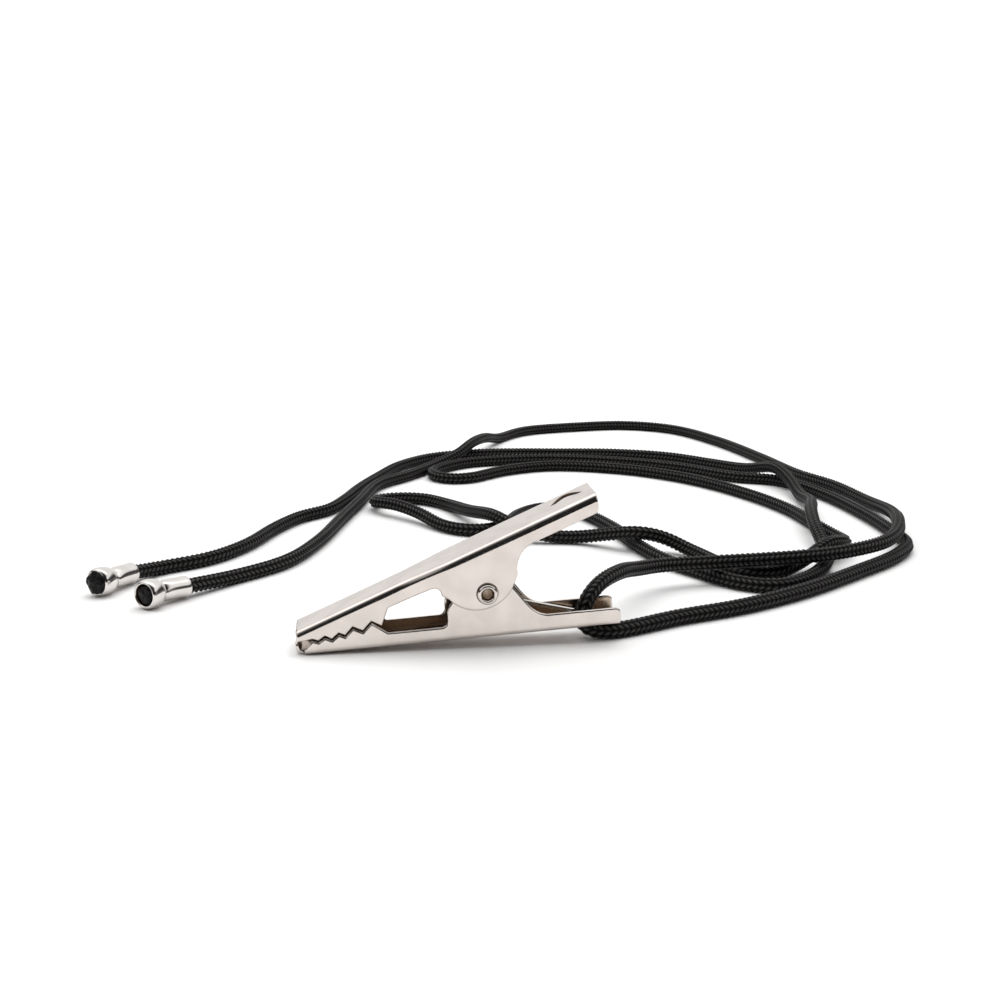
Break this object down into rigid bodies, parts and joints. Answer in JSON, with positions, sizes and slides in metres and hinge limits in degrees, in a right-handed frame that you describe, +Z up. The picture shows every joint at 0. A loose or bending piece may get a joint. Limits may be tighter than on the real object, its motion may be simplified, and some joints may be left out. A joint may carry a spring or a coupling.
{
  "type": "alligator clip on a cord",
  "caption": "Sprung steel clip with toothed jaws, and a long thin braided cord threaded through its tail, with a bell-mouthed metal ferrule on each end of the cord.",
  "frame": {"origin": "middle of the clip, on the surface it lies on, with the cord and its ferrules left out", "axes": "+X along the clip from the jaw tips to the tail, +Y to the side that the cord lies on, +Z up"},
  "size_m": [0.1632, 0.1849, 0.0248],
  "materials": {
    "nickel_plated_steel": "pressed steel sheet with bright nickel plate, sheared edges left bare",
    "spring_steel": "drawn wire",
    "bright_ferrule": "bright plated, drawn over the cord and crimped",
    "black_braid": "round herringbone braid with a slight sheen",
    "melted_cord": "cord end melted to a smooth irregular bead"
  },
  "bodies": {
    "clip_base": {"lower_jaw": "nickel_plated_steel", "pivot_rivet": "nickel_plated_steel", "torsion_spring": "spring_steel", "cord_upper": "black_braid", "cord_loop": "black_braid", "cord_return": "black_braid", "cord_last": "black_braid", "near_ferrule": "bright_ferrule", "near_cord_tip": "melted_cord", "far_ferrule": "bright_ferrule", "far_cord_tip": "melted_cord"},
    "lever": {"upper_jaw": "nickel_plated_steel"}
  },
  "joints": [
    {"name": "jaw_hinge", "type": "hinge", "parent": "clip_base", "child": "lever", "pos_m": [0.00425, 0, 0.00922], "axis": [0, 1, 0], "range_deg": [0, 20], "stiffness_Nm_per_rad": 0.5, "deforming": ["torsion_spring"]}
  ]
}
